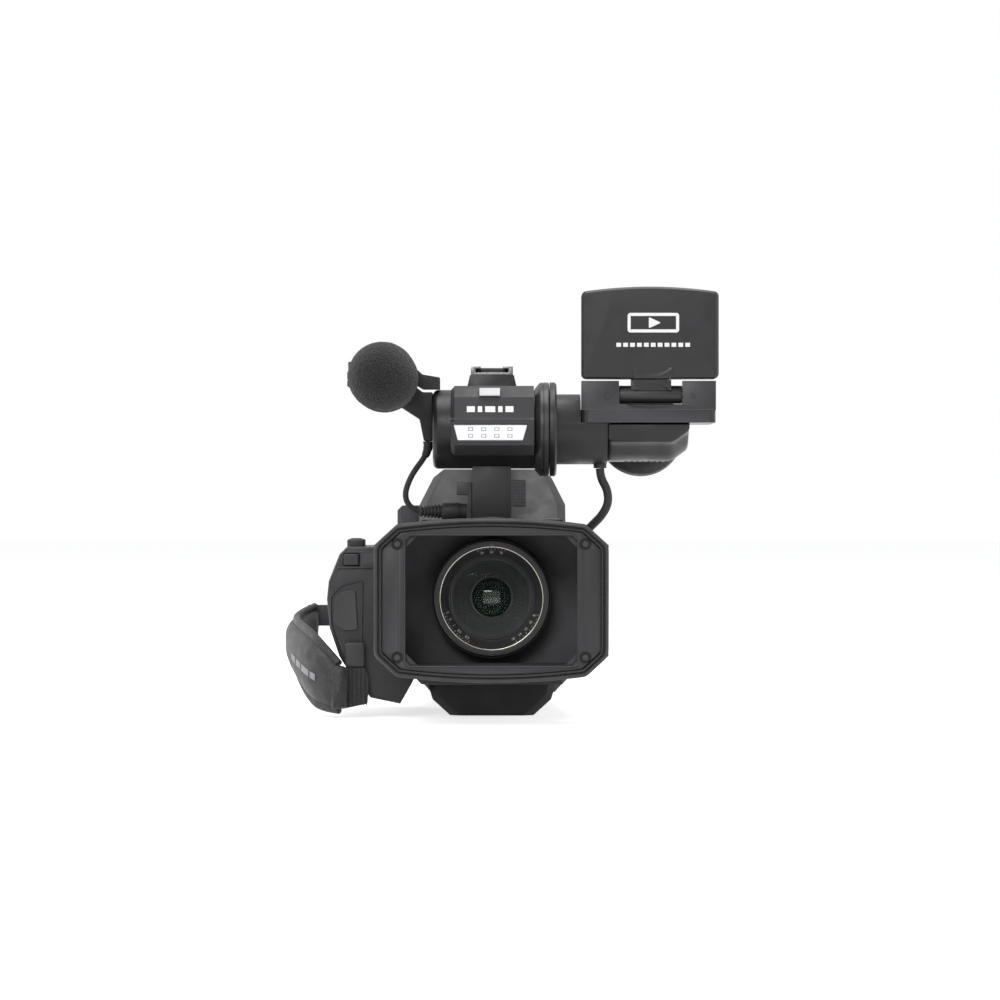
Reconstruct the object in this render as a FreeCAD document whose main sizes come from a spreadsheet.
import FreeCAD, Part
import math
import os
import re
import Sketcher

# A shoulder camcorder, front towards -Y, in millimetres.
# The origin is the mouth of the tripod thread, in the plane that the base stands on.

os.makedirs("parts", exist_ok=True)
doc = FreeCAD.newDocument("Camcorder")

SIZES = {
    # Lens, along Y
    "lens_height": 68,
    "lens_front": -140,
    "nose_radius": 32.2,
    "barrel_radius": 38,
    "barrel_wall": 4,
    "barrel_rear": -80,
    "ring_radius": 44,
    "front_glass_radius": 22,
    "inner_glass_radius": 10.5,
    # Hood: an octagon with a gently bowed top and bottom
    "hood_front": -190,
    "hood_depth": 66,
    "hood_half_width": 62.2,
    "hood_half_height": 40.3,
    "hood_bow_radius": 383,
    "hood_corner_width": 12,
    "hood_corner_height": 11,
    "hood_wall": 3,
    "hood_waist": 5,
    "collar_depth": 26,
    "rim_width": 4,
    "rim_depth": 6,
    "frame_thickness": 3,
    "frame_step": 1.6,
    "front_wall": 4,
    "opening_half_width": 45.5,
    "opening_half_height": 34.5,
    "screw_across": 49.8,
    "screw_up": 30,
    "shutter_half_width": 46.5,
    "shutter_thickness": 2,
    "shutter_up": 35.9,
    "shutter_set_back": 12.5,
    "shutter_pin_radius": 1,
    "pin_clearance": 0.06,
    # Body shell
    "body_half_width": 44,
    "body_front": -92,
    "body_rear": 233,
    "body_top": 110.5,
    "rear_top": 140,
    "body_wall": 2.5,
    "body_chamfer": 5,
    "base_top": 19,
    "base_shoulder": 9,
    "base_half_width": 36.5,
    "base_shoulder_half_width": 33.4,
    "foot_half_width": 23.5,
    "base_front": -60,
    "base_rear": 80,
    "arch_front": 86,
    "arch_rear": 202,
    "arch_top": 36,
    "arch_lean": 13,
    "heel_rear": 226,
    "tripod_radius": 3.175,
    "tripod_depth": 10,
    # Handle
    "handle_half_width": 10.8,
    "post_rear": -60,
    "bar_bottom": 156,
    "bar_top": 184,
    "handle_rear": 150,
    "rear_post_front": 112,
    "shoe_base": 192.4,
    "shoe_top": 197.5,
    "shoe_half_width": 12,
    "shoe_slot_half_width": 9.35,
    "shoe_mouth_half_width": 6.3,
    "shoe_front": -32,
    "shoe_rear": -12,
    # Top pod and the viewfinder, on one axis along X
    "pod_y": -84,
    "pod_height": 160.6,
    "pod_radius": 21.9,
    "pod_wall": 2.5,
    "pod_left": -32.6,
    "pod_right": 23.7,
    "pod_face_front": -112,
    "flange_radius": 26.1,
    "flange_cone": 3,
    "flange_width": 8.1,
    "collar_gap": 0.4,
    "collar_width": 3.7,
    "spigot_radius": 12,
    "spigot_clearance": 0.05,
    "arm_radius": 19.5,
    "arm_end": 64,
    "eye_x": 86.4,
    "eye_height": 160,
    "eye_radius": 17,
    "eyecup_radius": 25,
    "eye_front": -36,
    "eye_rear": -8,
    "eyecup_rear": 18,
    "finder_right": 109.3,
    "finder_bottom": 143,
    "finder_step": 153,
    # Folding monitor
    "block_left": 49.5,
    "block_right": 123.6,
    "block_front": -104,
    "block_rear": -40,
    "block_bottom": 164,
    "block_seam": 171.3,
    "block_top": 187,
    "block_wall_rear": -94,
    "recess_left": 70.2,
    "recess_right": 105.3,
    "hinge_y": -97,
    "hinge_height": 179.5,
    "hinge_radius": 5,
    "swivel_x": 87.35,
    "swivel_radius": 4,
    "panel_half_width": 37.85,
    "panel_half_thickness": 7,
    "panel_bottom": 188.1,
    "panel_top": 236.1,
    "panel_bow_radius": 252,
    "lid_thickness": 6,
    # Microphone
    "mic_x": -59,
    "mic_height": 188.1,
    "mic_radius": 9.7,
    "mic_front": -160,
    "mic_rear": -30,
    "foam_radius": 19,
    "foam_front": -166,
    "foam_rear": -98,
    "jaw_radius": 15,
    "jaw_front": -94,
    "jaw_rear": -76,
    "jaw_pin_x": -32.2,
    "jaw_pin_height": 185.8,
    # Grip on the right-hand side
    "grip_front": -80,
    "grip_rear": 30,
    "grip_top": 95,
    # Fits
    "slip": 0.3,
}

sheet = doc.addObject("Spreadsheet::Sheet", "Dims")
for row, (alias, number) in enumerate(SIZES.items(), 1):
    sheet.set("A%d" % row, alias)
    sheet.set("B%d" % row, str(number))
    sheet.setAlias("B%d" % row, alias)
doc.recompute()

SUBPARTS = []
PLANES = {"front": "XZ_Plane", "side": "YZ_Plane", "plan": "XY_Plane"}
FACING = {"front": -1, "side": 1, "plan": 1}


def formula(text):
    """Spell the named sizes the way the document's expressions read them."""
    def spell(word):
        return "Dims." + word.group() if word.group() in SIZES else word.group()
    return re.sub(r"[a-z_]+", spell, str(text))


def value(text):
    return float(sheet.evalExpression(formula(text)))


def keep(item, label):
    """Name a finished sub-part and list it for export."""
    item.Label = label
    SUBPARTS.append(item)
    return item


def new_body(label):
    return keep(doc.addObject("PartDesign::Body", label), label)


def sketch_on(body, plane, level, across="0", up="0"):
    """An empty sketch at one level of a plane: front is XZ, side is YZ, plan is XY."""
    sketch = body.newObject("Sketcher::SketchObject", "Sketch")
    origin = [item for item in body.Origin.OriginFeatures if item.Role == PLANES[plane]]
    sketch.AttachmentSupport = [(origin[0], "")]
    sketch.MapMode = "FlatFace"
    sketch.setExpression("AttachmentOffset.Base.x", formula(across))
    sketch.setExpression("AttachmentOffset.Base.y", formula(up))
    sketch.setExpression("AttachmentOffset.Base.z", formula("(%s) * %d" % (level, FACING[plane])))
    sketch.Label2 = plane
    return sketch


def arc_between(start, end, radius):
    """The arc that bulges to the right of the way from start to end, as an outward bow does."""
    chord = end - start
    out = FreeCAD.Vector(chord.y, -chord.x, 0).normalize()
    rise = radius - math.sqrt(radius ** 2 - (chord.Length / 2) ** 2)
    return Part.Arc(start, start + chord / 2 + out * rise, end)


def draw(sketch, points):
    """Close an outline, anticlockwise. A point with a third entry starts an outward arc of that radius."""
    count = len(points)
    spots = [FreeCAD.Vector(value(point[0]), value(point[1]), 0) for point in points]
    first = sketch.GeometryCount
    for number, point in enumerate(points):
        start, end = spots[number], spots[(number + 1) % count]
        if len(point) == 3:
            sketch.addGeometry(arc_between(start, end, value(point[2])))
        else:
            sketch.addGeometry(Part.LineSegment(start, end))
    for number, point in enumerate(points):
        edge = first + number
        following = first + (number + 1) % count
        sketch.addConstraint(Sketcher.Constraint("Coincident", edge, 2, following, 1))
        for kind, entry, spot in (("DistanceX", point[0], spots[number].x),
                                  ("DistanceY", point[1], spots[number].y)):
            index = sketch.addConstraint(Sketcher.Constraint(kind, -1, 1, edge, 1, spot))
            sketch.setExpression("Constraints[%d]" % index, formula(entry))
        if len(point) == 3:
            index = sketch.addConstraint(Sketcher.Constraint("Radius", edge, value(point[2])))
            sketch.setExpression("Constraints[%d]" % index, formula(point[2]))
    return sketch


def ring(sketch, across, up, radius):
    """Add a full circle to a sketch."""
    centre = FreeCAD.Vector(value(across), value(up), 0)
    circle = Part.Circle(centre, FreeCAD.Vector(0, 0, 1), value(radius))
    edge = sketch.addGeometry(circle)
    for kind, entry, spot in (("DistanceX", across, centre.x), ("DistanceY", up, centre.y)):
        index = sketch.addConstraint(Sketcher.Constraint(kind, -1, 1, edge, 3, spot))
        sketch.setExpression("Constraints[%d]" % index, formula(entry))
    index = sketch.addConstraint(Sketcher.Constraint("Radius", edge, value(radius)))
    sketch.setExpression("Constraints[%d]" % index, formula(radius))
    return sketch


def outline(body, plane, level, points):
    return draw(sketch_on(body, plane, level), points)


def rectangle(body, plane, level, across, up):
    """A sketch of one rectangle, from its two ranges."""
    corners = [(across[0], up[0]), (across[1], up[0]), (across[1], up[1]), (across[0], up[1])]
    return outline(body, plane, level, corners)


def disc(body, plane, level, across, up, radius):
    return ring(sketch_on(body, plane, level), across, up, radius)


def pad(body, sketch, length, toward=1):
    """Thicken a sketch towards +1 or -1 along its world axis."""
    feature = body.newObject("PartDesign::Pad", "Pad")
    feature.Profile = sketch
    feature.setExpression("Length", formula(length))
    feature.Reversed = FACING[sketch.Label2] * toward < 0
    doc.recompute()
    return feature


def pocket(body, sketch, length, toward=1):
    """Cut a sketch towards +1 or -1 along its world axis, and see that it really cuts."""
    before = body.Shape.Volume
    feature = body.newObject("PartDesign::Pocket", "Pocket")
    feature.Profile = sketch
    feature.setExpression("Length", formula(length))
    feature.Reversed = FACING[sketch.Label2] * toward > 0
    doc.recompute()
    if body.Shape.Volume > before - 0.01:
        raise RuntimeError("a pocket cuts nothing in " + body.Label)
    return feature


def turned(label, axis, across, up, points):
    """A body of revolution about a line along X or Y. Points are (place along it, radius)."""
    body = new_body(label)
    add_turned(body, axis, across, up, points)
    return body


def add_turned(body, axis, across, up, points):
    """Revolve an outline of (place, radius) about the line along X or Y at (across, up)."""
    if axis == "x":
        sketch = sketch_on(body, "front", across, "0", up)
    else:
        sketch = sketch_on(body, "side", across, "0", up)
    draw(sketch, points)
    feature = body.newObject("PartDesign::Revolution", "Revolution")
    feature.Profile = sketch
    feature.ReferenceAxis = (sketch, ["H_Axis"])
    feature.Angle = 360
    doc.recompute()
    return feature


def edges_where(shape, test):
    return ["Edge%d" % number for number, edge in enumerate(shape.Edges, 1) if test(edge)]


def soften(body, kind, radius, test):
    """Round (Fillet) or bevel (Chamfer) the edges that pass a test."""
    doc.recompute()
    base = body.Tip
    names = edges_where(base.Shape, test)
    if not names:
        raise RuntimeError("no edge to soften in " + body.Label)
    feature = body.newObject("PartDesign::" + kind, kind)
    feature.Base = (base, names)
    feature.setExpression("Radius" if kind == "Fillet" else "Size", formula(radius))
    doc.recompute()
    return feature


def along(axis):
    """Straight edges parallel to an axis."""
    def test(edge):
        if edge.Curve.TypeId != "Part::GeomLine":
            return False
        way = edge.Vertexes[-1].Point - edge.Vertexes[0].Point
        return abs(abs(getattr(way.normalize(), axis)) - 1) < 1e-6
    return test


def level_with(axis, place):
    """Edges that lie wholly in one plane across an axis."""
    level = value(place)

    def test(edge):
        box = edge.BoundBox
        low, high = getattr(box, axis.upper() + "Min"), getattr(box, axis.upper() + "Max")
        return abs(low - level) < 0.01 and abs(high - level) < 0.01
    return test


def block(name, x, y, z):
    """A plain box from its three ranges."""
    item = doc.addObject("Part::Box", name)
    for side, way, (low, high) in (("Length", "x", x), ("Width", "y", y), ("Height", "z", z)):
        item.setExpression(side, formula("(%s) - (%s)" % (high, low)))
        item.setExpression("Placement.Base." + way, formula(low))
    return item


TURN = {
    "x": FreeCAD.Rotation(FreeCAD.Vector(0, 1, 0), 90),
    "y": FreeCAD.Rotation(FreeCAD.Vector(1, 0, 0), -90),
    "z": FreeCAD.Rotation(),
}


def rod(name, axis, x, y, z, radius):
    """A cylinder along an axis: its own coordinate is a range, the other two are its centre."""
    item = doc.addObject("Part::Cylinder", name)
    item.Placement = FreeCAD.Placement(FreeCAD.Vector(), TURN[axis])
    spot = {"x": x, "y": y, "z": z}
    low, high = spot[axis]
    spot[axis] = low
    item.setExpression("Height", formula("(%s) - (%s)" % (high, low)))
    item.setExpression("Radius", formula(radius))
    for way, place in spot.items():
        item.setExpression("Placement.Base." + way, formula(place))
    return item


def fused(name, *items):
    item = doc.addObject("Part::MultiFuse", name)
    item.Shapes = list(items)
    doc.recompute()
    return item


def carved(name, base, *tools):
    item = doc.addObject("Part::Cut", name)
    item.Base = base
    item.Tool = tools[0] if len(tools) == 1 else fused(name + "_tools", *tools)
    doc.recompute()
    return item


def rounded(name, base, radius, test):
    """Round the chosen edges of a plain solid."""
    doc.recompute()
    chosen = [number for number, edge in enumerate(base.Shape.Edges, 1) if test(edge)]
    item = doc.addObject("Part::Fillet", name)
    item.Base = base
    item.Edges = [(number, value(radius), value(radius)) for number in chosen]
    doc.recompute()
    return item


def gathered(label, *items):
    """Separate solids of one node, such as a set of screws."""
    item = doc.addObject("Part::Compound", label)
    item.Links = list(items)
    doc.recompute()
    return keep(item, label)


# ---------------------------------------------------------------- lens

def lens_barrel():
    points = [("lens_front", "front_glass_radius + 6.2"), ("hood_front + hood_depth", "front_glass_radius + 6.2"),
              ("hood_front + hood_depth + barrel_wall", "barrel_radius - barrel_wall"),
              ("barrel_rear", "barrel_radius - barrel_wall"), ("barrel_rear", "barrel_radius"),
              ("hood_front + hood_depth", "barrel_radius"), ("hood_front + hood_depth", "nose_radius"),
              ("lens_front", "nose_radius")]
    turned("lens_barrel", "y", "0", "lens_height", points)


def name_ring():
    """The sloping ring round the front glass."""
    points = [("lens_front + 0.5", "front_glass_radius + 6.1"), ("lens_front + 5", "front_glass_radius + 0.4"),
              ("lens_front + 7", "front_glass_radius + 0.4"), ("lens_front + 7", "front_glass_radius + 6.1")]
    turned("name_ring", "y", "0", "lens_height", points)


def front_lens():
    points = [("lens_front + 3", "0"), ("lens_front + 9", "0"), ("lens_front + 9", "front_glass_radius + 0.2"),
              ("lens_front + 5.5", "front_glass_radius + 0.2")]
    turned("front_lens", "y", "0", "lens_height", points)


def lens_group():
    """The inner lens carrier: a stepped tube that narrows to the second glass."""
    wide = "front_glass_radius + 6"
    points = [("lens_front + 9.2", "front_glass_radius - 3"), ("lens_front + 22", "inner_glass_radius"),
              ("lens_front + 24", "inner_glass_radius"), ("lens_front + 24", "0"), ("lens_front + 30", "0"),
              ("lens_front + 30", wide), ("lens_front + 9.2", wide)]
    turned("lens_group", "y", "0", "lens_height", points)


def focus_ring():
    points = [("hood_front + hood_depth + 0.5", "barrel_radius + slip"), ("body_front - 0.5", "barrel_radius + slip"),
              ("body_front - 0.5", "ring_radius - 2"), ("body_front - 2.5", "ring_radius"),
              ("hood_front + hood_depth + 2.5", "ring_radius"), ("hood_front + hood_depth + 0.5", "ring_radius - 2")]
    turned("focus_ring", "y", "0", "lens_height", points)


# ---------------------------------------------------------------- hood

def octagon(inset, half_width="hood_half_width"):
    """The hood's outline, drawn in from its edge by an inset."""
    wide = "(%s - %s)" % (half_width, inset)
    high = "(hood_half_height - %s)" % inset
    near = "(hood_half_width - hood_corner_width - 0.6 * %s)" % inset
    low = "(%s - hood_corner_height + 0.4 * %s)" % (high, inset)
    bow = "hood_bow_radius"
    return [("-%s" % near, "lens_height - %s" % high, bow), (near, "lens_height - %s" % high),
            (wide, "lens_height - %s" % low), (wide, "lens_height + %s" % low),
            (near, "lens_height + %s" % high, bow), ("-%s" % near, "lens_height + %s" % high),
            ("-%s" % wide, "lens_height + %s" % low), ("-%s" % wide, "lens_height - %s" % low)]


def lens_hood():
    body = new_body("lens_hood")
    shell_front = "hood_front + rim_depth"
    collar_rear = "hood_front + collar_depth"
    hood_rear = "hood_front + hood_depth"
    pad(body, outline(body, "front", shell_front, octagon("0")), "collar_depth - rim_depth")
    waist = octagon("0", "(hood_half_width - hood_waist)")
    pad(body, outline(body, "front", collar_rear, waist), "hood_depth - collar_depth")
    inside = octagon("hood_wall", "(hood_half_width - hood_waist)")
    hollow = "hood_depth - rim_depth - front_wall - hood_wall"
    pocket(body, outline(body, "front", shell_front + " + front_wall", inside), hollow)
    mouth = ("-opening_half_width - 0.5", "opening_half_width + 0.5")
    height = ("lens_height - opening_half_height - 0.5", "lens_height + opening_half_height + 0.5")
    pocket(body, rectangle(body, "front", shell_front, mouth, height), "front_wall + 1")
    seat = disc(body, "front", hood_rear + " - hood_wall - 1", "0", "lens_height", "nose_radius + slip")
    pocket(body, seat, "hood_wall + 2")
    for side in ("", "-"):
        for up in ("+", "-"):
            middle = "lens_height %s shutter_up" % up
            back = "hood_front + shutter_set_back"
            away = -1 if side else 1
            ear = outline(body, "side", side + "(shutter_half_width + 2)",
                          [(shell_front + " + front_wall - 1", middle + " - 2.5"),
                           (back + " + 2.5", middle + " - 2.5"), (back + " + 2.5", middle + " + 2.5"),
                           (shell_front + " + front_wall - 1", middle + " + 2.5")])
            pad(body, ear, "1.6", toward=away)
            eye = disc(body, "side", side + "(shutter_half_width + 1)", back, middle,
                       "shutter_pin_radius + pin_clearance")
            pocket(body, eye, "3", toward=away)
    for across in ("screw_across", "-screw_across"):
        for up in ("+", "-"):
            bore = disc(body, "front", shell_front, across, "lens_height %s screw_up" % up, "1.3")
            pocket(body, bore, "front_wall - 0.5")


def hood_rim():
    """The rubber lip round the front of the hood."""
    body = new_body("hood_rim")
    sketch = outline(body, "front", "hood_front", octagon("0"))
    draw(sketch, octagon("rim_width"))
    pad(body, sketch, "rim_depth")
    soften(body, "Fillet", "1.2", level_with("y", "hood_front"))


def hood_frame():
    """The flat frame inside the rim, with the rectangular window."""
    body = new_body("hood_frame")
    pad(body, outline(body, "front", "hood_front + rim_depth - frame_thickness", octagon("(rim_width + 0.2)")),
        "frame_thickness")
    mouth = ("-opening_half_width", "opening_half_width")
    height = ("lens_height - opening_half_height", "lens_height + opening_half_height")
    front = "hood_front + rim_depth - frame_thickness"
    pocket(body, rectangle(body, "front", front, mouth, height), "frame_thickness + 1")
    for across in ("screw_across", "-screw_across"):
        for up in ("+", "-"):
            bore = disc(body, "front", front, across, "lens_height %s screw_up" % up, "1.4")
            pocket(body, bore, "frame_thickness + 1")


def hood_screws():
    """Four screws that hold the frame to the hood."""
    face = "hood_front + rim_depth - frame_thickness"
    screws = []
    for across in ("screw_across", "-screw_across"):
        for up in ("+", "-"):
            height = "lens_height %s screw_up" % up
            head = rod("screw_head", "y", across, (face + " - 1", face), height, "2.3")
            shank = rod("screw_shank", "y", across, (face, face + " + frame_thickness + 3"), height, "1.25")
            screws.append(fused("screw", head, shank))
    gathered("hood_screws", *screws)


def shutter(label, up):
    """One leaf of the lens cover, lying open behind its hinge."""
    back = "hood_front + shutter_set_back"
    middle = "lens_height %s shutter_up" % up
    half = "shutter_thickness / 2"
    leaf = block("leaf", ("-shutter_half_width", "shutter_half_width"),
                 (back, back + " + shutter_up - 0.3"), (middle + " - " + half, middle + " + " + half))
    pin = rod("leaf_pin", "x", ("-shutter_half_width - 3.4", "shutter_half_width + 3.4"), back, middle,
              "shutter_pin_radius")
    keep(fused(label + "_solid", leaf, pin), label)


def shutter_lever():
    """The lever on the hood's left side that swings both leaves."""
    seat = "hood_half_width - hood_waist"
    y = "hood_front + collar_depth + 17"
    hub = rod("lever_hub", "x", (seat + " + 0.2", seat + " + 3.6"), y, "lens_height", "5")
    arm = block("lever_arm", (seat + " + 0.8", seat + " + 3.2"), (y + " - 1.8", y + " + 1.8"),
                ("lens_height", "lens_height + 15"))
    keep(fused("lever_solid", hub, arm), "shutter_lever")


# ---------------------------------------------------------------- body

def base_plate():
    body = new_body("base_plate")
    wide, shoulder, foot = "base_half_width", "base_shoulder_half_width", "foot_half_width"
    points = [("-" + foot, "0"), (foot, "0"), (shoulder, "base_shoulder"), (wide, "base_top"),
              ("-" + wide, "base_top"), ("-" + shoulder, "base_shoulder")]
    pad(body, outline(body, "front", "base_front", points), "base_rear - base_front")
    pocket(body, disc(body, "plan", "0", "0", "0", "tripod_radius"), "tripod_depth")
    pocket(body, disc(body, "plan", "0", "0", "-20", "4.7625"), "tripod_depth")
    soften(body, "Chamfer", "4", lambda edge: level_with("y", "base_front")(edge) and not along("x")(edge))


def body_profile(inset="0"):
    """Side view of the body, front to the left, with the arch for the shoulder."""
    low, high = "base_top + %s" % inset, "body_top - %s" % inset
    front, rear = "body_front + %s" % inset, "body_rear - %s" % inset
    rear_high, heel = "rear_top - %s" % inset, "(%s)" % inset
    return [(front, low), ("arch_front", low), ("arch_front + arch_lean", "arch_top + %s" % inset),
            ("arch_rear - arch_lean + %s" % inset, "arch_top + %s" % inset), ("arch_rear + %s" % inset, heel),
            ("heel_rear - %s" % inset, heel), (rear, "7 + %s" % inset), (rear, rear_high + " - 7"),
            ("heel_rear - %s" % inset, rear_high), ("rear_post_front", rear_high),
            ("rear_post_front - 28", high), ("body_front + 8", high), (front, high + " - 8")]


def cover(label, side):
    """One half of the body shell, open at the middle plane. Side +1 is the left cover, at +X."""
    body = new_body(label)
    pad(body, outline(body, "side", "0", body_profile()), "body_half_width", toward=side)
    outer = "body_half_width * %d" % side
    soften(body, "Chamfer", "body_chamfer", level_with("x", outer))
    pocket(body, outline(body, "side", "0", body_profile("body_wall")), "body_half_width - body_wall - 3", toward=side)
    pocket(body, disc(body, "front", "body_front - 1", "0", "lens_height", "barrel_radius + slip"), "10")
    return body


def left_cover():
    body = cover("left_cover", 1)
    entry = rectangle(body, "front", "-48", ("body_half_width - 1", "body_half_width + 9"), ("94.5", "104.5"))
    pad(body, entry, "18")


def shoulder_pad():
    """The soft pad under the arch."""
    body = new_body("shoulder_pad")
    low = "arch_top - 12"
    points = [("arch_front + arch_lean + 4", "arch_top - slip"), ("arch_front + arch_lean + 4", low + " + 3"),
              ("arch_front + arch_lean + 20", low + " + 6"), ("arch_rear - arch_lean - 22", low + " + 6"),
              ("arch_rear - arch_lean - 2", low + " + 2"), ("arch_rear - arch_lean - 2", "arch_top - slip")]
    pad(body, outline(body, "side", "-30", points), "60")


def battery_plate():
    body = new_body("battery_plate")
    pad(body, rectangle(body, "front", "body_rear", ("-24", "24"), ("50", "131")), "3")


def battery():
    cell = block("cell", ("-19.2", "19.2"), ("body_rear + 3.3", "body_rear + 40"), ("55", "126"))
    keep(rounded("battery_solid", cell, "3", along("z")), "battery")


def main_board():
    half = "body_half_width - body_wall - 3.3"
    keep(block("main_board", ("-(%s)" % half, half), ("-20", "180"), ("44", "46")), "main_board")


def sensor_block():
    keep(block("sensor_block", ("-24", "24"), ("barrel_rear", "barrel_rear + 30"), ("44", "92")), "sensor_block")


def audio_box():
    """The box on the right-hand side that carries the two audio sockets."""
    body = new_body("audio_box")
    pad(body, rectangle(body, "side", "-body_half_width", ("118", "196"), ("62", "118")), "14", toward=-1)
    soften(body, "Chamfer", "3", level_with("x", "-body_half_width - 14"))
    for y in ("137", "175"):
        pocket(body, disc(body, "side", "-body_half_width - 15", y, "90", "12.1"), "12")


def xlr_sockets():
    rings = []
    face = "-body_half_width - 14.5"
    for y in ("137", "175"):
        rim = rod("xlr_rim", "x", (face, "-body_half_width - 3"), y, "90", "12")
        bore = rod("xlr_bore", "x", (face + " - 1", "-body_half_width - 4"), y, "90", "8.2")
        rings.append(carved("xlr_shell", rim, bore))
    gathered("xlr_sockets", *rings)


def audio_dial(number, y):
    skirt = rod("dial_skirt", "x", ("body_half_width + 0.2", "body_half_width + 5"), y, "92", "7")
    keep(rounded("dial_solid", skirt, "0.8", level_with("x", "body_half_width + 5")), "audio_dial_%d" % number)


def card_door():
    """The door over the card slots, hinged at its front edge."""
    door = block("door", ("body_half_width + 0.3", "body_half_width + 2.8"), ("150", "205"), ("58", "100"))
    keep(rounded("door_solid", door, "1.2", level_with("x", "body_half_width + 2.8")), "card_door")


# ---------------------------------------------------------------- handle

def handle():
    """Front post, grip bar and rear post in one loop, hollowed where the pod lies in it."""
    body = new_body("handle")
    points = [("body_front", "body_top"), ("post_rear", "body_top"), ("post_rear", "bar_bottom - 8"),
              ("post_rear + 8", "bar_bottom"), ("rear_post_front - 8", "bar_bottom"),
              ("rear_post_front", "bar_bottom - 8"), ("rear_post_front", "rear_top"), ("handle_rear", "rear_top"),
              ("handle_rear", "bar_top - 8"), ("handle_rear - 8", "bar_top"), ("pod_y + 18", "bar_top"),
              ("pod_y + 8", "pod_height + 8"), ("body_front", "pod_height - 14")]
    half = "handle_half_width"
    pad(body, outline(body, "side", "-" + half, points), "2 * " + half)
    soften(body, "Fillet", "4", lambda edge: along("y")(edge) and edge.BoundBox.ZMin > value("bar_bottom") - 0.1)
    pocket(body, disc(body, "side", "-" + half + " - 1", "pod_y", "pod_height", "pod_radius + slip"),
           "2 * " + half + " + 2")
    foot = [("-14.5", "bar_top - 3"), ("14.5", "bar_top - 3"), ("14", "bar_top + 2"),
            ("shoe_half_width + 0.5", "shoe_base"), ("-shoe_half_width - 0.5", "shoe_base"), ("-14", "bar_top + 2")]
    pad(body, outline(body, "front", "shoe_front - 4", foot), "shoe_rear - shoe_front + 8")
    well = rectangle(body, "side", "-6.3", ("7.7", "34.3"), ("bar_top - 4", "bar_top + 1"))
    pocket(body, well, "12.6")


def accessory_shoe():
    body = new_body("accessory_shoe")
    wide, slot, mouth = "shoe_half_width", "shoe_slot_half_width", "shoe_mouth_half_width"
    floor, roof = "shoe_base + 1.6", "shoe_base + 3.7"
    points = [("-" + wide, "shoe_base"), (wide, "shoe_base"), (wide, "shoe_top"), (mouth, "shoe_top"), (mouth, roof),
              (slot, roof), (slot, floor), ("-" + slot, floor), ("-" + slot, roof), ("-" + mouth, roof),
              ("-" + mouth, "shoe_top"), ("-" + wide, "shoe_top")]
    pad(body, outline(body, "front", "shoe_front", points), "shoe_rear - shoe_front")


def handle_rocker():
    rocker = block("rocker", ("-6", "6"), ("8", "34"), ("bar_top - 2.4", "bar_top + 2.6"))
    keep(rounded("rocker_solid", rocker, "1", level_with("z", "bar_top + 2.6")), "handle_rocker")


def jack_block():
    """The microphone's socket beside the front post."""
    body = new_body("jack_block")
    inner = "-handle_half_width - 0.1"
    points = [("-13.5", "body_top"), (inner, "body_top"), (inner, "131"), ("-19.6", "131"), ("-19.6", "124"),
              ("-13.5", "124")]
    pad(body, outline(body, "front", "-91", points), "14")


# ---------------------------------------------------------------- pod

def pod_housing():
    end, wall, radius = "pod_left", "pod_wall", "pod_radius"
    points = [(end, "0"), (end + " + " + wall, "0"), (end + " + " + wall, radius + " - " + wall),
              ("pod_right", radius + " - " + wall), ("pod_right", radius), (end + " + 4", radius),
              (end, radius + " - 4")]
    turned("pod_housing", "x", "pod_y", "pod_height", points)


def pod_face():
    """The front panel of the pod, with the lamp window in its lower facet."""
    body = new_body("pod_face")
    front = "pod_face_front"
    points = [(front + " + 16", "146"), (front + " + 16", "184.5"), (front + " + 6", "178"), (front + " + 2", "166.4"),
              (front, "165.4"), (front, "151.3"), (front + " + 7", "146")]
    pad(body, outline(body, "side", "-22.5", list(reversed(points))), "45.8")
    soften(body, "Chamfer", "2", lambda edge: level_with("x", "-22.5")(edge) and edge.BoundBox.YMin < -104)
    relief = disc(body, "side", "-23.5", "pod_y", "pod_height", "pod_radius + slip")
    pocket(body, relief, "48")
    pocket(body, outline(body, "front", front, lamp_outline("-0.15")), "1.6")
    pocket(body, rectangle(body, "front", front, ("-16", "14.5"), ("154.8", "162")), "4.6")
    lens = rectangle(body, "side", "-7", (front + " + 4", front + " + 12.3"), ("178.4", "186"))
    pocket(body, lens, "12.1")


def lamp_outline(inset):
    low, high = "153.3 + (%s)" % inset, "163.4 - (%s)" % inset
    return [("-19.3 + (%s)" % inset, low), ("17.8 - (%s)" % inset, low), ("20.7 - (%s)" % inset, high),
            ("-22 + (%s)" % inset, high)]


def led_window():
    body = new_body("led_window")
    pad(body, outline(body, "front", "pod_face_front + 0.1", lamp_outline("0")), "1.5")


def led_board():
    """The lamp board with two rows of four light-emitting diodes."""
    board = block("board", ("-15.8", "14.3"), ("pod_face_front + 3.6", "pod_face_front + 4.6"), ("155", "161.8"))
    chips = []
    for column in range(4):
        for row in range(2):
            x, z = "-0.75 + 7.2 * (%s)" % (column - 1.5), "158.4 + 3.6 * (%s)" % (row - 0.5)
            chips.append(block("chip", (x + " - 1.3", x + " + 1.3"),
                               ("pod_face_front + 2.4", "pod_face_front + 3.6"), (z + " - 1.3", z + " + 1.3")))
    keep(fused("led_solid", board, *chips), "led_board")


def tally_window():
    body = new_body("tally_window")
    front = "pod_face_front"
    points = [(front + " + 4.3", "178.5"), (front + " + 12", "178.5"), (front + " + 12", "183"),
              (front + " + 10.5", "183.2"), (front + " + 4.3", "179.4")]
    pad(body, outline(body, "side", "-6.8", points), "11.5")


def pod_flange():
    """The fixed half of the collar that carries the viewfinder arm."""
    left, right = "pod_right", "pod_right + flange_width"
    bore = "spigot_radius + spigot_clearance"
    points = [(left, bore), (right, bore), (right, "flange_radius"), (left + " + flange_cone", "flange_radius"),
              (left, "pod_radius")]
    turned("pod_flange", "x", "pod_y", "pod_height", points)


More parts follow.
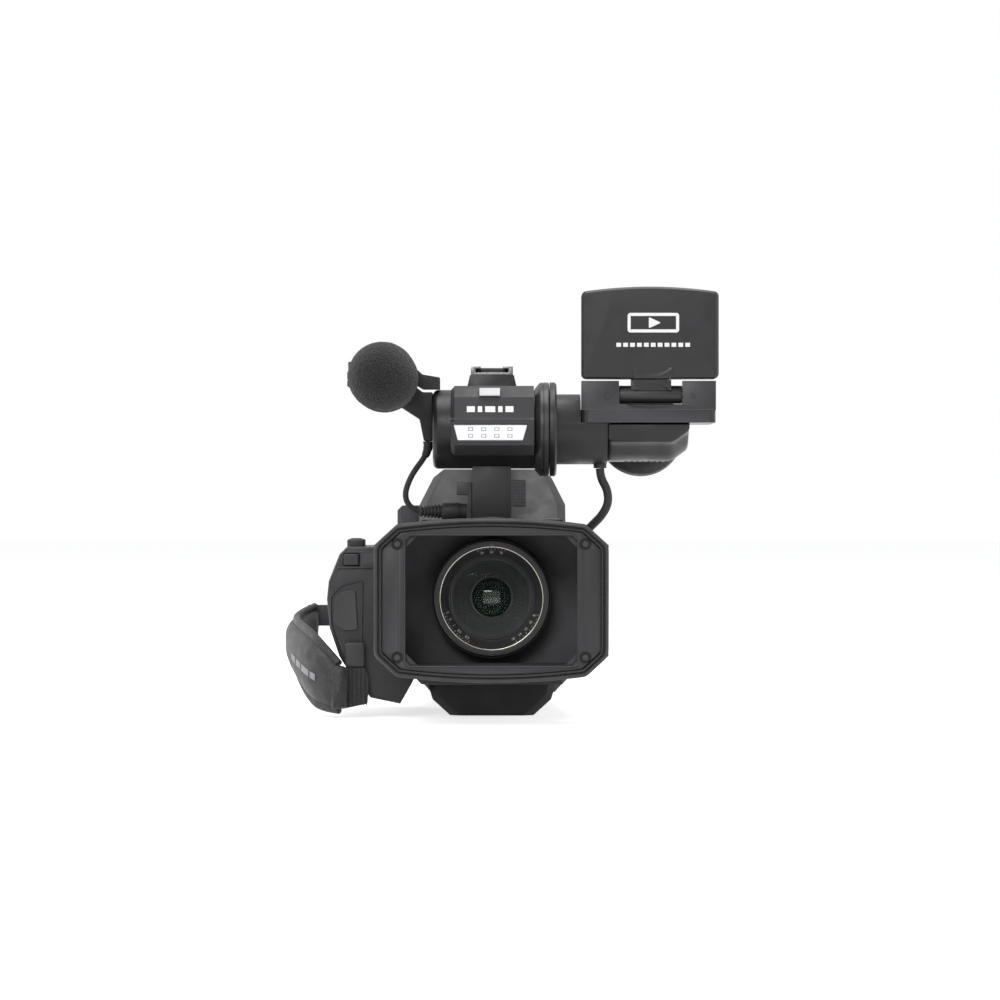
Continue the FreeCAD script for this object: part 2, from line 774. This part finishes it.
# ---------------------------------------------------------------- microphone

def mic_holder():
    """The fixed lower jaw on the pod's end, with the lead's strain relief under it."""
    body = new_body("mic_holder")
    out = "pod_left - 0.1"
    low, pin = "mic_height - jaw_radius", "jaw_pin_height - 4.8"
    points = [("mic_x - jaw_radius - 6", "mic_height - 4"), ("mic_x - jaw_radius", "mic_height - 6"),
              ("mic_x - 8", low), ("mic_x + 8", low), ("-40", "166"), ("-37.6", "154"), (out, "154"), (out, pin),
              ("jaw_pin_x - 6", pin),
              ("mic_x + jaw_radius - 3", "mic_height - slip"), ("mic_x - jaw_radius - 6", "mic_height - slip")]
    pad(body, outline(body, "front", "jaw_front", points), "jaw_rear - jaw_front")
    pocket(body, disc(body, "front", "jaw_front - 1", "mic_x", "mic_height", "mic_radius + slip"), "20")


def mic_clamp():
    """The upper jaw, hinged on a pin beside the pod."""
    body = new_body("mic_clamp")
    top = "mic_height + jaw_radius - 1"
    points = [("mic_x - jaw_radius - 6", "mic_height"), ("mic_x + jaw_radius - 3", "mic_height"),
              ("jaw_pin_x - 6", "jaw_pin_height - 3"), ("jaw_pin_x + 3.4", "jaw_pin_height - 3"),
              ("jaw_pin_x + 3.4", "jaw_pin_height + 3.4"), ("jaw_pin_x - 6", "jaw_pin_height + 5"),
              ("mic_x + 8", top), ("mic_x - 8", top), ("mic_x - jaw_radius", "mic_height + 4"),
              ("mic_x - jaw_radius - 6", "mic_height + 4")]
    pad(body, outline(body, "front", "jaw_front", points), "jaw_rear - jaw_front")
    pocket(body, disc(body, "front", "jaw_front - 1", "mic_x", "mic_height", "mic_radius + slip"), "20")
    pocket(body, disc(body, "plan", "mic_height - 1", "mic_x - jaw_radius - 3", "jaw_front + 9", "1.6"), "6")


def clamp_screw():
    """The thumbscrew at the jaw's outer flange."""
    x, y = "mic_x - jaw_radius - 3", "jaw_front + 9"
    knob = rod("screw_knob", "z", x, y, ("mic_height + 4.2", "mic_height + 10"), "2.8")
    shank = rod("clamp_shank", "z", x, y, ("mic_height + 0.2", "mic_height + 5"), "1.55")
    keep(fused("clamp_screw_solid", knob, shank), "clamp_screw")


def microphone():
    points = [("mic_front", "0"), ("mic_rear + 8", "0"), ("mic_rear + 8", "3"), ("mic_rear", "mic_radius - 1"),
              ("mic_rear", "mic_radius"), ("mic_front + 1", "mic_radius"), ("mic_front", "mic_radius - 1")]
    turned("microphone", "y", "mic_x", "mic_height", list(reversed(points)))


def windscreen():
    """The foam over the microphone, round at the front and drawn in behind."""
    bore = "mic_radius + slip"
    points = [("foam_rear", bore), ("foam_rear", "foam_radius - 5"), ("foam_rear - 8", "foam_radius - 1"),
              ("foam_rear - 22", "foam_radius"), ("foam_front + 17", "foam_radius"),
              ("foam_front + 7", "foam_radius - 4"), ("foam_front + 1.5", "foam_radius - 11"), ("foam_front", "0"),
              ("mic_front - slip", "0"), ("mic_front - slip", bore)]
    turned("windscreen", "y", "mic_x", "mic_height", list(reversed(points)))


# ---------------------------------------------------------------- viewfinder

def viewfinder_arm():
    """The turning half of the collar, its spigot and the tube out to the finder."""
    left = "pod_right + flange_width + collar_gap"
    points = [("pod_right + 1", "spigot_radius - 3"), (left + " + collar_width + 2", "spigot_radius - 3"),
              (left + " + collar_width + 2", "0"), ("arm_end", "0"), ("arm_end", "arm_radius"),
              (left + " + collar_width", "arm_radius"), (left + " + collar_width", "flange_radius - 1"),
              (left + " + collar_width - 1", "flange_radius"), (left, "flange_radius"), (left, "spigot_radius"),
              ("pod_right + 1", "spigot_radius")]
    body = turned("viewfinder_arm", "x", "pod_y", "pod_height", points)
    seat = rectangle(body, "front", "-120", ("block_left - 0.3", "arm_end + 1"), ("block_bottom", "200"))
    pocket(body, seat, "80")
    pad(body, disc(body, "plan", "139", "60.2", "pod_y", "3.6"), "6")


def viewfinder_housing():
    """The eyepiece case under the monitor's block."""
    body = new_body("viewfinder_housing")
    points = [("block_front", "finder_step"), ("block_front + 8", "finder_step"), ("block_front + 16", "finder_bottom"),
              ("eye_front - 2", "finder_bottom"), ("eye_front - 2", "block_bottom"), ("block_front", "block_bottom")]
    left = "arm_end + 0.05"
    pad(body, outline(body, "side", left, points), "finder_right - arm_end")
    soften(body, "Chamfer", "3", lambda edge: along("z")(edge) and edge.BoundBox.XMin > value("finder_right") - 1)
    pad(body, disc(body, "front", "eye_front - 4", "eye_x", "eye_height", "11"), "4")
    pad(body, disc(body, "front", "eye_front", "eye_x", "eye_height", "eye_radius"), "eye_rear - eye_front")
    pocket(body, disc(body, "front", "eye_rear", "eye_x", "eye_height", "13"), "24", toward=-1)


def eyecup():
    inner = "eye_radius + 0.05"
    points = [("eye_rear - 10", inner), ("eye_rear", inner), ("eye_rear", "14"), ("eye_rear + 3", "14"),
              ("eyecup_rear", "eyecup_radius - 3"), ("eyecup_rear", "eyecup_radius"), ("eye_rear + 8", "eyecup_radius"),
              ("eye_rear - 10", "eye_radius + 3")]
    turned("eyecup", "y", "eye_x", "eye_height", points)


def eyepiece_lens():
    points = [("eye_rear - 12", "0"), ("eye_rear - 6", "0"), ("eye_rear - 8.5", "12.8"), ("eye_rear - 12", "12.8")]
    turned("eyepiece_lens", "y", "eye_x", "eye_height", points)


def lcd_base():
    """The block under the monitor: a slab, and a wall in front with the hinge's recess."""
    body = new_body("lcd_base")
    left, right = "block_left", "block_right"
    pad(body, rectangle(body, "front", "block_front", (left, right), ("block_bottom", "block_seam")),
        "block_rear - block_front")
    soften(body, "Fillet", "4", along("z"))
    wall = rectangle(body, "front", "block_front", (left, right), ("block_seam - 0.5", "block_top"))
    pad(body, wall, "block_wall_rear - block_front")
    gap = ("recess_left", "recess_right")
    pocket(body, rectangle(body, "front", "block_front - 1", gap, ("block_seam + 2.9", "block_top + 1")), "14")


def lcd_hinge():
    """The barrel that tilts the monitor and the neck that it swivels on."""
    barrel = rod("hinge_barrel", "x", ("recess_left + slip", "recess_right - slip"), "hinge_y", "hinge_height",
                 "hinge_radius")
    neck = block("hinge_neck", ("swivel_x - 10.4", "swivel_x + 10.4"), ("hinge_y - 4", "hinge_y + 4"),
                 ("hinge_height", "panel_bottom - slip"))
    pivot = rod("swivel_pivot", "z", "swivel_x", "hinge_y", ("panel_bottom - 1", "panel_bottom + 5"),
                "swivel_radius")
    keep(fused("hinge_solid", barrel, neck, pivot), "lcd_hinge")


def panel_outline(inset):
    left, right = "swivel_x - panel_half_width + %s" % inset, "swivel_x + panel_half_width - %s" % inset
    return [(left, "panel_bottom + %s" % inset), (right, "panel_bottom + %s" % inset),
            (right, "panel_top - %s" % inset, "panel_bow_radius"), (left, "panel_top - %s" % inset)]


def lcd_lid():
    """The monitor's back shell, which faces forward when the monitor stands up."""
    body = new_body("lcd_lid")
    front = "hinge_y - panel_half_thickness"
    pad(body, outline(body, "front", front, panel_outline("0")), "2 * panel_half_thickness - 2")
    soften(body, "Fillet", "3", along("y"))
    soften(body, "Chamfer", "1.2", level_with("y", front))
    pocket(body, outline(body, "front", front + " + 8", panel_outline("2")), "10")
    bore = disc(body, "plan", "panel_bottom - 1", "swivel_x", "hinge_y", "swivel_radius + 0.05")
    pocket(body, bore, "6.3")


def lcd_bezel():
    body = new_body("lcd_bezel")
    rear = "hinge_y + panel_half_thickness"
    pad(body, outline(body, "front", rear + " - 1.9", panel_outline("0")), "1.9")
    soften(body, "Fillet", "3", along("y"))
    window = rectangle(body, "front", rear + " - 2", ("swivel_x - 33", "swivel_x + 33"), ("193", "231.5"))
    pocket(body, window, "3")


def lcd_glass():
    rear = "hinge_y + panel_half_thickness"
    keep(block("lcd_glass", ("swivel_x - 32.8", "swivel_x + 32.8"), (rear + " - 3.5", rear + " - 0.5"),
               ("193.2", "231.3")), "lcd_glass")


# ---------------------------------------------------------------- grip and strap

def grip_housing():
    body = new_body("grip_housing")
    points = [("-body_half_width", "grip_top"), ("-81", "grip_top"), ("-85", "91"), ("-91", "76"), ("-92", "66"),
              ("-90.5", "50"), ("-85", "34"), ("-79", "24"), ("-67.6", "11"), ("-51.1", "7.6"),
              ("-body_half_width", "20")]
    pad(body, outline(body, "front", "grip_front", points), "grip_rear - grip_front")
    soften(body, "Fillet", "3", lambda edge: level_with("y", "grip_front")(edge) and edge.BoundBox.XMin < -60)
    anchor = rectangle(body, "front", "16.4", ("-107.5", "-90"), ("48", "60"))
    pad(body, anchor, "13")
    well = rectangle(body, "front", "-58.3", ("-81.8", "-71.7"), ("grip_top - 4.6", "grip_top + 1"))
    pocket(body, well, "28.6")
    pocket(body, rectangle(body, "front", "grip_front", ("-82.8", "-73.7"), ("84.7", "91.5")), "3")
    pocket(body, disc(body, "front", "grip_rear", "-66", "68", "7.3"), "4", toward=-1)


def zoom_rocker():
    rocker = block("grip_rocker", ("-81.5", "-72"), ("-58", "-30"), ("grip_top - 3", "grip_top + 4.3"))
    keep(rounded("zoom_solid", rocker, "1.2", level_with("z", "grip_top + 4.3")), "zoom_rocker")


def assign_button():
    key = block("assign_key", ("-82.5", "-74"), ("grip_front - 2.5", "grip_front + 1.6"), ("85", "91.2"))
    keep(rounded("assign_solid", key, "0.8", level_with("y", "grip_front - 2.5")), "assign_button")


def record_button():
    key = rod("record_key", "y", "-66", ("grip_rear - 2.4", "grip_rear + 2.6"), "68", "7")
    keep(rounded("record_solid", key, "0.8", level_with("y", "grip_rear + 2.6")), "record_button")


def strap_buckle():
    """The plastic loop at the front of the grip that the strap's webbing runs through."""
    loop = block("loop", ("-81.5", "-70.5"), ("grip_front - 6.3", "grip_front - 0.1"), ("28.5", "42.2"))
    keep(rounded("buckle_solid", loop, "2", along("y")), "strap_buckle")


def strap_pad():
    """The padded hand strap: a slab that runs from behind the grip round to its lower front."""
    stations = [((-98, 14), (-107, 16), 37, 60), ((-105, -22), (-118, -22), 28, 54),
                ((-95, -62), (-104, -74), 8, 46), ((-84, -82), (-84, -94), 4, 30)]
    wires = []
    for inner, outer, low, high in stations:
        corners = [(inner, low), (outer, low), (outer, high), (inner, high)]
        spots = [FreeCAD.Vector(spot[0], spot[1], height) for spot, height in corners]
        wires.append(Part.makePolygon(spots + spots[:1]))
    item = doc.addObject("Part::Feature", "strap_pad")
    item.Shape = Part.makeLoft(wires, True, False)
    keep(item, "strap_pad")


def strap_web():
    """The webbing from the pad's front end up through the buckle and down to the body."""
    body = new_body("strap_web")
    points = [("-83.6", "5"), ("-69", "8"), ("-68.5", "22"), ("-70.5", "28.2"), ("-81.5", "28.2"), ("-83.6", "25")]
    pad(body, outline(body, "front", "grip_front - 5", points), "2.4")


# ---------------------------------------------------------------- leads

def lead(label, radius, points):
    """A tube along straight runs joined by tangent arcs, each as large as its two runs allow."""
    spots = [FreeCAD.Vector(*point) for point in points]
    edges, here = [], spots[0]
    for before, corner, after in zip(spots, spots[1:], spots[2:]):
        way_in, way_out = (corner - before).normalize(), (after - corner).normalize()
        half_turn = way_in.getAngle(way_out) / 2
        reach = 0.45 * min((corner - before).Length, (after - corner).Length)
        print(label, "radius", round(reach / math.tan(half_turn), 1))
        start, end = corner - way_in * reach, corner + way_out * reach
        bow = reach / math.tan(half_turn)
        centre = corner + (way_out - way_in).normalize() * (bow / math.cos(half_turn))
        middle = centre + (corner - centre).normalize() * bow
        edges += [Part.LineSegment(here, start).toShape(), Part.Arc(start, middle, end).toShape()]
        here = end
    edges.append(Part.LineSegment(here, spots[-1]).toShape())
    path = Part.Wire(edges)
    circle = Part.Wire([Part.makeCircle(radius, spots[0], spots[1] - spots[0])])
    tube = path.makePipeShell([circle], True, True)
    print(label, "length", round(path.Length, 1), "volume ratio",
          round(tube.Volume / (math.pi * radius ** 2 * path.Length), 4))
    item = doc.addObject("Part::Feature", label)
    item.Shape = tube
    keep(item, label)


MIC_LEAD = [(-35.2, -86, 153.8), (-35.2, -86, 149.2), (-38.6, -86.5, 143.2), (-42.6, -87, 138), (-45.7, -87, 132.5),
            (-48, -87, 126), (-47.6, -86.5, 120.9), (-44.6, -85.5, 116.8), (-40, -84.5, 115), (-34.8, -84, 115)]
FINDER_LEAD = [(60.2, -84, 138.9), (60.4, -84, 133.8), (64.3, -83.5, 127.3), (65, -83.5, 119.5), (61.3, -83, 112.6),
               (55.9, -79.5, 107.2), (51.5, -72, 102.5), (50, -63.5, 100.2), (49.5, -55.5, 99.5), (49.5, -48.2, 99.5)]


def mic_plug():
    """The plug on the microphone's lead: a ribbed boot and a smooth collar."""
    boot = rod("plug_boot", "x", ("-34.6", "-24"), "-84", "115", "3.8")
    collar = rod("plug_collar", "x", ("-24", "-13.6"), "-84", "115", "4.3")
    keep(fused("plug_solid", boot, collar), "mic_plug")


def main():
    lens_barrel()
    name_ring()
    front_lens()
    lens_group()
    focus_ring()
    lens_hood()
    hood_rim()
    hood_frame()
    hood_screws()
    shutter("upper_shutter", "+")
    shutter("lower_shutter", "-")
    shutter_lever()
    base_plate()
    left_cover()
    cover("right_cover", -1)
    shoulder_pad()
    battery_plate()
    battery()
    main_board()
    sensor_block()
    audio_box()
    xlr_sockets()
    audio_dial(1, "100")
    audio_dial(2, "124")
    card_door()
    handle()
    accessory_shoe()
    handle_rocker()
    jack_block()
    pod_housing()
    pod_face()
    led_window()
    led_board()
    tally_window()
    pod_flange()
    mic_holder()
    mic_clamp()
    clamp_screw()
    microphone()
    windscreen()
    lead("mic_lead", 1.6, MIC_LEAD)
    mic_plug()
    viewfinder_arm()
    viewfinder_housing()
    eyecup()
    eyepiece_lens()
    lead("viewfinder_lead", 2.35, FINDER_LEAD)
    lcd_base()
    lcd_hinge()
    lcd_lid()
    lcd_bezel()
    lcd_glass()
    grip_housing()
    zoom_rocker()
    assign_button()
    record_button()
    strap_buckle()
    strap_pad()
    strap_web()
    write_parts()


def write_parts():
    """See that everything is sound, then write one file for each sub-part."""
    doc.recompute()
    for item in doc.Objects:
        if "Invalid" in item.State or "Error" in item.State:
            raise RuntimeError("%s (%s) did not build" % (item.Name, item.Label))
    for item in SUBPARTS:
        if item.Shape.isNull() or not item.Shape.isValid():
            raise RuntimeError(item.Label + " has no sound shape")
        item.Shape.exportStep("parts/%s.step" % item.Label)


main()
